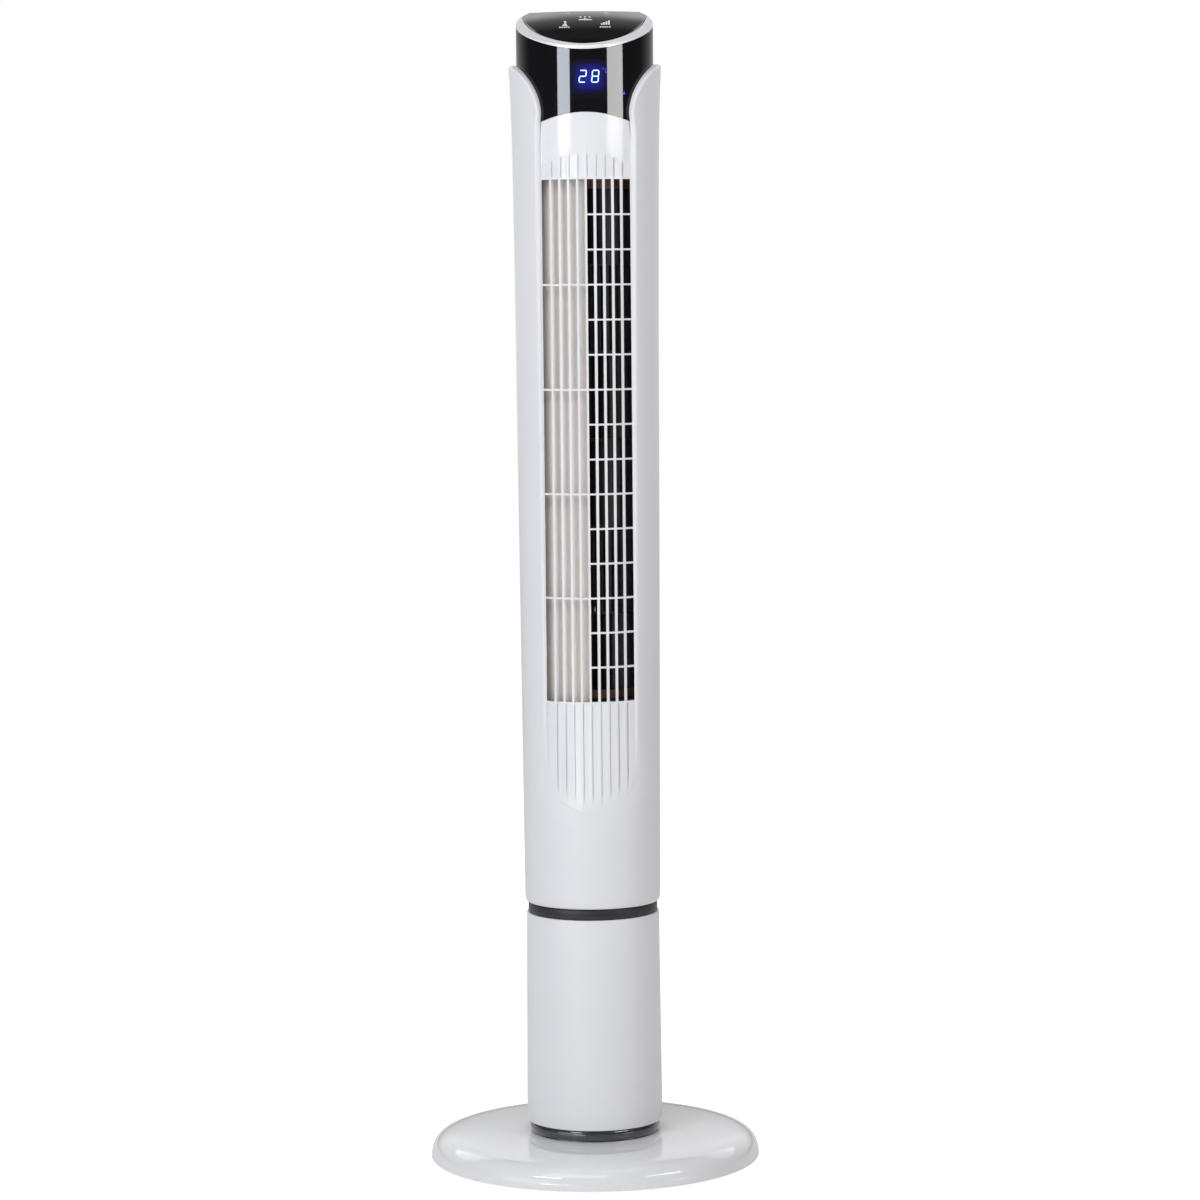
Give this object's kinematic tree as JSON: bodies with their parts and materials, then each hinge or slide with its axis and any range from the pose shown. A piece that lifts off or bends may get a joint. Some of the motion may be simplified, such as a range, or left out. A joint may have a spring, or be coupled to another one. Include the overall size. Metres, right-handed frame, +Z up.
{
  "type": "tower fan",
  "caption": "Tall oscillating tower fan with a round white base, a slim white body, an upright front grille, a black slanted control head and a lit display.",
  "frame": {"origin": "on the floor, on the column axis", "axes": "+Z up, the air outlet faces -Y, +X to the right of someone facing the outlet"},
  "size_m": [0.336, 0.3359, 1.1677],
  "materials": {
    "gloss_white": "polished white moulding",
    "satin_white": "satin white moulding",
    "gloss_black": "high gloss black",
    "display_black": "smoked high gloss window with a blue glow behind it",
    "panel_black": "gloss black touch surface",
    "smoke_plastic": "smoky dark grey gloss",
    "black_plastic": "fine matt black",
    "dark_plastic": "matt dark grey moulding",
    "impeller_black": "matt black glass-filled moulding",
    "beige_plastic": "matt warm grey moulding",
    "gear_plastic": "natural acetal",
    "silver_trim": "silver paint on plastic",
    "steel": "plain zinc plated steel",
    "cast_alloy": "cast alloy end bells",
    "brass": "sintered bronze",
    "copper": "enamelled copper wire",
    "circuit_board": "green solder mask",
    "lead_insulation": "red wire insulation",
    "rubber": "soft black rubber",
    "digit_glow": "lit white-cyan digit segments, emissive",
    "violet_glow": "lit violet-blue lens, emissive"
  },
  "bodies": {
    "stand": {"base_shell": "gloss_white", "base_cover": "dark_plastic", "cover_screws": "steel", "base_weight": "steel", "weight_screws": "steel", "rubber_feet": "rubber", "cord_gland": "black_plastic", "base_collar": "smoke_plastic", "column_foot": "dark_plastic", "column_nut": "dark_plastic", "base_screws": "steel", "column_tube": "satin_white", "column_screws": "steel", "seam_ring": "black_plastic", "swivel_plate": "dark_plastic", "swivel_screws": "steel", "fixed_gear": "gear_plastic", "thrust_washer": "gear_plastic", "retaining_clip": "steel"},
    "tower": {"body_floor": "dark_plastic", "floor_screws": "steel", "front_housing": "satin_white", "rear_housing": "satin_white", "housing_screws": "steel", "front_grille": "gloss_white", "intake_grille": "satin_white", "air_duct": "beige_plastic", "osc_motor": "steel", "osc_motor_screws": "steel", "power_board": "circuit_board", "motor_plate": "steel", "motor_lower_bell": "cast_alloy", "motor_upper_bell": "cast_alloy", "motor_stator": "steel", "motor_windings": "copper", "motor_bearings": "steel", "motor_screws": "steel", "motor_capacitor": "black_plastic", "bearing_bridge": "satin_white", "top_bush": "brass", "carry_handle": "satin_white", "head_shell": "gloss_black", "display_window": "display_black", "display_segments": "digit_glow", "indicator_led": "violet_glow", "display_board": "circuit_board", "top_rim": "silver_trim", "control_panel": "panel_black", "control_board": "circuit_board", "touch_springs": "steel", "control_cable": "black_plastic", "motor_leads": "lead_insulation"},
    "impeller": {"impeller": "impeller_black", "motor_shaft": "steel", "motor_rotor": "steel", "impeller_stub": "steel", "hub_screw": "steel"},
    "osc_pinion": {"drive_pinion": "gear_plastic", "osc_shaft": "steel"}
  },
  "joints": [
    {"name": "oscillation", "type": "hinge", "parent": "stand", "child": "tower", "pos_m": [0, 0, 0.266], "axis": [0, 0, 1], "range_deg": [-37.5, 37.5]},
    {"name": "impeller_spin", "type": "hinge", "parent": "tower", "child": "impeller", "pos_m": [0.008, 0.008, 0.7], "axis": [0, 0, 1], "continuous": true},
    {"name": "pinion_spin", "type": "hinge", "parent": "tower", "child": "osc_pinion", "pos_m": [0, 0.045, 0.259], "axis": [0, 0, 1], "range_deg": [-135, 135]}
  ],
  "couplings": [
    {"joint": "pinion_spin", "follows": "oscillation", "ratio": 3.5}
  ]
}
